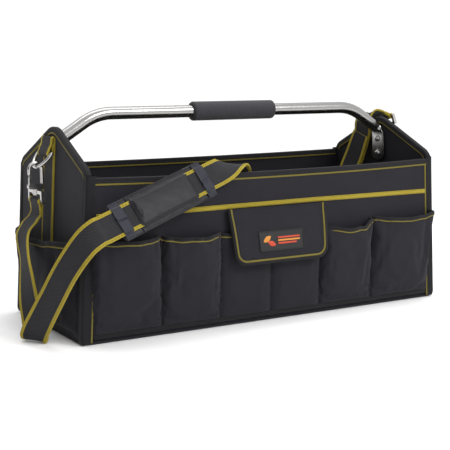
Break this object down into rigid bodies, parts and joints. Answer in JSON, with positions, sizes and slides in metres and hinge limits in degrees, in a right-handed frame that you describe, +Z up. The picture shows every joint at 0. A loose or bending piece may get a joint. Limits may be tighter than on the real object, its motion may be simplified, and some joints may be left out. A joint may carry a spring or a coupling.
{
  "type": "garden tool tote bag",
  "caption": "Open-top tool tote bag with bolted tubular handle, outer pockets, a pocket flap, and a padded shoulder strap clipped to a ring at each end.",
  "frame": {"origin": "centre of the underside of the base, where the bag stands on the floor", "axes": "+X along the bag towards its right end as seen from the pocket side, -Y towards the flap and front pockets, +Z up"},
  "size_m": [0.6869, 0.2952, 0.3082],
  "materials": {
    "black_cloth": "matt woven polyester with a fine weave",
    "black_tape": "ribbed binding tape, slight sheen",
    "yellow_piping": "dull olive-yellow woven tape",
    "bright_tape": "golden yellow woven tape",
    "board": "dark rigid board",
    "hook_and_loop": "napped hook-and-loop tape",
    "patch": "moulded soft badge",
    "tube_steel": "bright plated steel tube",
    "hardware": "bright plated steel",
    "foam": "closed-cell foam with fine rings",
    "webbing": "black webbing with yellow edges",
    "pad_vinyl": "grey grained vinyl",
    "band_vinyl": "light grey grained vinyl"
  },
  "bodies": {
    "bag": {"front_panel": "black_cloth", "back_panel": "black_cloth", "left_end_panel": "black_cloth", "right_end_panel": "black_cloth", "base_panel": "black_cloth", "base_board": "board", "front_rim_binding": "black_tape", "back_rim_binding": "black_tape", "front_rim_piping": "yellow_piping", "back_rim_piping": "yellow_piping", "left_end_binding": "black_tape", "right_end_binding": "black_tape", "left_end_piping": "yellow_piping", "right_end_piping": "yellow_piping", "mid_tape": "bright_tape", "front_pocket_1": "black_cloth", "front_pocket_2": "black_cloth", "front_pocket_3": "black_cloth", "front_pocket_4": "black_cloth", "front_pocket_5": "black_cloth", "front_pocket_6": "black_cloth", "front_pocket_bindings": "yellow_piping", "left_pocket": "black_cloth", "right_pocket": "black_cloth", "left_pocket_binding": "yellow_piping", "right_pocket_binding": "yellow_piping", "loop_tape": "hook_and_loop", "handle_tube": "tube_steel", "handle_ends": "tube_steel", "foam_grip": "foam", "handle_bolts": "hardware", "tee_nuts": "hardware", "left_end_webbing": "webbing", "right_end_webbing": "webbing", "left_d_ring": "hardware", "right_d_ring": "hardware", "left_eye": "hardware", "right_eye": "hardware", "left_strap_loop": "webbing", "right_strap_loop": "webbing", "strap": "webbing", "strap_tail": "webbing", "slide_adjuster": "hardware"},
    "flap": {"flap": "black_cloth", "flap_binding": "black_tape", "flap_piping": "yellow_piping", "flap_hook_tape": "hook_and_loop", "label_patch": "patch"},
    "left_hook": {"left_hook": "hardware", "left_gate_pin": "hardware"},
    "right_hook": {"right_hook": "hardware", "right_gate_pin": "hardware"},
    "left_gate": {"left_gate": "hardware"},
    "right_gate": {"right_gate": "hardware"},
    "pad": {"pad_back": "pad_vinyl", "pad_sleeve": "pad_vinyl", "pad_upper_band": "band_vinyl", "pad_lower_band": "band_vinyl"}
  },
  "joints": [
    {"name": "flap_hinge", "type": "hinge", "parent": "bag", "child": "flap", "pos_m": [-0.0025, -0.1225, 0.164], "axis": [-1, 0, 0], "range_deg": [0, 135]},
    {"name": "left_swivel", "type": "hinge", "parent": "bag", "child": "left_hook", "pos_m": [-0.30839, 0.008, 0.22353], "axis": [0, 0, 1], "range_deg": [-15, 15]},
    {"name": "right_swivel", "type": "hinge", "parent": "bag", "child": "right_hook", "pos_m": [0.31384, 0.008, 0.22961], "axis": [0.1392, -0.2563, -0.9565], "range_deg": [-10, 10]},
    {"name": "left_gate_hinge", "type": "hinge", "parent": "left_hook", "child": "left_gate", "pos_m": [-0.31699, 0.008, 0.19703], "axis": [0, 1, 0], "range_deg": [0, 25], "stiffness_Nm_per_rad": 0.02, "springref_deg": -11.46},
    {"name": "right_gate_hinge", "type": "hinge", "parent": "right_hook", "child": "right_gate", "pos_m": [0.31866, 0.0151, 0.25611], "axis": [0, 0.9659, -0.2588], "range_deg": [0, 25], "stiffness_Nm_per_rad": 0.02, "springref_deg": -11.46},
    {"name": "pad_slide", "type": "slide", "parent": "bag", "child": "pad", "axis": [-0.9377, -0.175, -0.3001], "range_m": [0, 0.015]}
  ]
}
